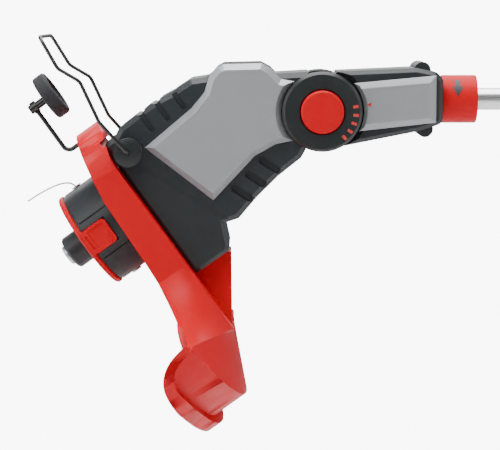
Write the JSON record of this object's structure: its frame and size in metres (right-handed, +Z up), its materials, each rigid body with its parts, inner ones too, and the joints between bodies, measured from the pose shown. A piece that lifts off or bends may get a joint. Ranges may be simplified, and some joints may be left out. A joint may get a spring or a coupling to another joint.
{
  "type": "string trimmer",
  "caption": "Electric grass trimmer with a tilting motor head, fan-shaped guard, bump-feed spool, fold-out wire plant guard, edging wheel, telescopic tube and loop handles.",
  "frame": {"origin": "middle of the rear grip, on the tube's axis", "axes": "+X back along the tube, +Z up, -Y to the user's left, where the tilt button is"},
  "size_m": [1.0312, 0.3292, 0.4464],
  "materials": {
    "housing_grey": "fine-textured moulded nylon",
    "silver_cover": "satin silver paint",
    "red_plastic": "moulded red, slight gloss",
    "black_plastic": "moulded black",
    "black_wire": "black coated steel wire",
    "steel": "bright steel",
    "aluminium_tube": "anodised satin",
    "rubber": "moulded rubber",
    "iron_core": "laminated iron",
    "magnet": "ferrite",
    "copper_brass": "brass",
    "white_line": "clear white nylon"
  },
  "bodies": {
    "handle": {"handle_left": "housing_grey", "handle_right": "housing_grey", "handle_screws": "steel", "trigger_spring": "steel", "lock_spring": "steel", "power_switch": "black_plastic", "power_gland": "rubber", "upper_tube": "black_wire", "tube_bush": "black_plastic", "grip_clamp": "black_plastic", "clamp_bolt": "steel"},
    "trigger": {"trigger": "red_plastic"},
    "lock_button": {"lock_button": "red_plastic"},
    "front_grip": {"front_grip": "housing_grey"},
    "clamp_knob": {"clamp_knob": "red_plastic"},
    "upper_collar": {"upper_collar": "red_plastic"},
    "lower_tube": {"lower_tube": "aluminium_tube"},
    "neck": {"neck_left": "housing_grey", "neck_right": "housing_grey", "neck_cover_left": "silver_cover", "neck_cover_right": "silver_cover", "neck_screws": "steel", "lower_collet": "black_plastic"},
    "lower_collar": {"lower_collar": "red_plastic"},
    "head": {"motor_housing_left": "housing_grey", "motor_housing_right": "housing_grey", "side_cover_left": "silver_cover", "side_cover_right": "silver_cover", "guard": "red_plastic", "line_cutter_blade": "steel", "guard_screws": "steel", "housing_screws": "steel", "motor_can": "steel", "field_magnets": "magnet", "brush_plate": "black_plastic", "motor_bearings": "steel", "pivot_ring_left": "black_plastic", "pivot_ring_right": "black_plastic", "tilt_axle": "steel", "wire_bushes": "black_plastic", "tilt_button_spring": "steel"},
    "tilt_button": {"tilt_button": "red_plastic", "tilt_lock_gear": "black_plastic"},
    "wire_guard": {"wire_guard": "black_wire"},
    "wheel_arm": {"wheel_arm": "black_wire", "wheel_axle": "black_wire"},
    "edging_wheel": {"wheel_hub": "black_plastic", "wheel_tyre": "rubber"},
    "spool": {"motor_shaft": "steel", "armature": "iron_core", "cooling_fan": "black_plastic", "spool_drum": "housing_grey", "line_eyelets": "steel", "spool_cap": "red_plastic", "line_spool": "black_plastic", "wound_line": "white_line", "cutting_line": "white_line", "bump_spring": "steel"},
    "bump_knob": {"bump_knob": "housing_grey", "bump_insert": "steel"}
  },
  "joints": [
    {"name": "trigger_pull", "type": "hinge", "parent": "handle", "child": "trigger", "pos_m": [-0.06, 0, -0.01], "axis": [0, -1, 0], "range_deg": [0, 8], "stiffness_Nm_per_rad": 1.5, "springref_deg": -8.59, "deforming": ["trigger_spring"]},
    {"name": "lock_button_press", "type": "slide", "parent": "handle", "child": "lock_button", "axis": [0, 0, -1], "range_m": [0, 0.004], "stiffness_N_per_m": 400, "springref_m": -0.003, "deforming": ["lock_spring"]},
    {"name": "front_grip_tilt", "type": "hinge", "parent": "handle", "child": "front_grip", "pos_m": [-0.25, 0, 0.034], "axis": [0, 1, 0], "range_deg": [-40, 40]},
    {"name": "clamp_knob_turn", "type": "hinge", "parent": "handle", "child": "clamp_knob", "pos_m": [-0.25, -0.025, 0.034], "axis": [0, -1, 0], "range_deg": [0, 360]},
    {"name": "upper_collar_turn", "type": "hinge", "parent": "handle", "child": "upper_collar", "pos_m": [-0.388, 0, 0], "axis": [-1, 0, 0], "range_deg": [0, 90]},
    {"name": "tube_slide", "type": "slide", "parent": "handle", "child": "lower_tube", "axis": [-1, 0, 0], "range_m": [0, 0.18]},
    {"name": "neck_turn", "type": "hinge", "parent": "lower_tube", "child": "neck", "pos_m": [-0.6, 0, 0], "axis": [1, 0, 0], "range_deg": [0, 180]},
    {"name": "lower_collar_turn", "type": "hinge", "parent": "neck", "child": "lower_collar", "pos_m": [-0.53, 0, 0], "axis": [1, 0, 0], "range_deg": [0, 90]},
    {"name": "head_tilt", "type": "hinge", "parent": "neck", "child": "head", "pos_m": [-0.65, 0, -0.009], "axis": [0, -1, 0], "range_deg": [0, 55]},
    {"name": "tilt_button_press", "type": "slide", "parent": "head", "child": "tilt_button", "axis": [0, 1, 0], "range_m": [0, 0.005], "stiffness_N_per_m": 600, "springref_m": -0.004, "deforming": ["tilt_button_spring"]},
    {"name": "wire_guard_fold", "type": "hinge", "parent": "head", "child": "wire_guard", "pos_m": [-0.8138, 0, -0.0431], "axis": [0, 1, 0], "range_deg": [0, 75]},
    {"name": "wheel_arm_swivel", "type": "hinge", "parent": "head", "child": "wheel_arm", "pos_m": [-0.85139, 0, -0.03364], "axis": [0.8121, 0, 0.5835], "range_deg": [-60, 60]},
    {"name": "edging_wheel_spin", "type": "hinge", "parent": "wheel_arm", "child": "edging_wheel", "pos_m": [-0.88265, 0, 0.003], "axis": [0.8121, 0, 0.5835], "continuous": true},
    {"name": "spool_spin", "type": "hinge", "parent": "head", "child": "spool", "pos_m": [-0.83316, 0, -0.11043], "axis": [0.8121, 0, 0.5835], "continuous": true},
    {"name": "bump_knob_press", "type": "slide", "parent": "spool", "child": "bump_knob", "axis": [0.8121, 0, 0.5835], "range_m": [0, 0.008], "stiffness_N_per_m": 800, "springref_m": -0.005, "deforming": ["bump_spring"]}
  ]
}
